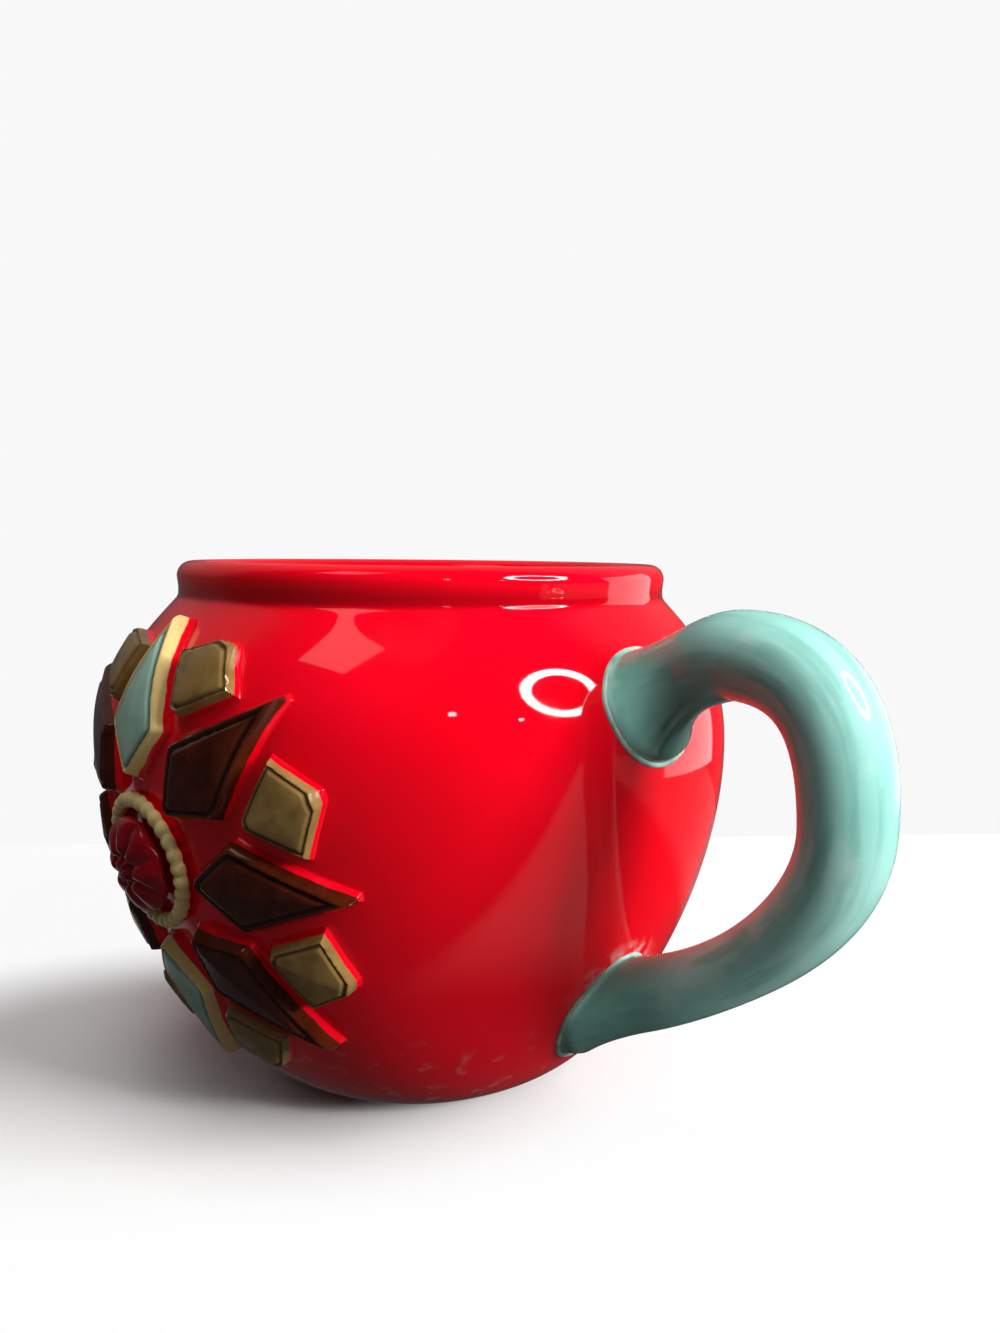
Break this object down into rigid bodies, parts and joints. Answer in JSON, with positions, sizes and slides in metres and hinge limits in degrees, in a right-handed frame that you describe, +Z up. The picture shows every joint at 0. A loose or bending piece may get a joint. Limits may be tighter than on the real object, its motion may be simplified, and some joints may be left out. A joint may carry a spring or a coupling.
{
  "type": "coffee mug",
  "caption": "Round-bellied glazed ceramic mug with a rolled rim, an ear-shaped tube handle and a raised star medallion on one side, for hot drinks.",
  "frame": {"origin": "on the mug's axis at the plane it stands on, 0.8 mm below the centre of the shallow recess underneath", "axes": "+Z up through the mouth, +X towards the handle, -Y towards the star"},
  "size_m": [0.1479, 0.1148, 0.0915],
  "materials": {
    "red_glaze": "glossy",
    "turquoise_glaze": "glossy",
    "deep_red_glaze": "glossy",
    "cream_glaze": "glossy",
    "brown_glaze": "glossy",
    "tan_glaze": "glossy",
    "pale_slip": "satin"
  },
  "bodies": {
    "root": {"mug_body": "red_glaze", "handle": "turquoise_glaze", "upper_slip_seam": "pale_slip", "lower_slip_seam": "pale_slip", "star_boss": "deep_red_glaze", "star_ring": "cream_glaze", "star_point_1": "turquoise_glaze", "star_point_2": "brown_glaze", "star_point_3": "brown_glaze", "star_point_4": "brown_glaze", "star_point_5": "turquoise_glaze", "star_point_6": "brown_glaze", "star_point_7": "brown_glaze", "star_point_8": "brown_glaze", "star_gem_1": "tan_glaze", "star_gem_2": "tan_glaze", "star_gem_3": "tan_glaze", "star_gem_4": "tan_glaze", "star_gem_5": "tan_glaze", "star_gem_6": "tan_glaze", "star_gem_7": "tan_glaze", "star_gem_8": "tan_glaze"}
  },
  "joints": []
}
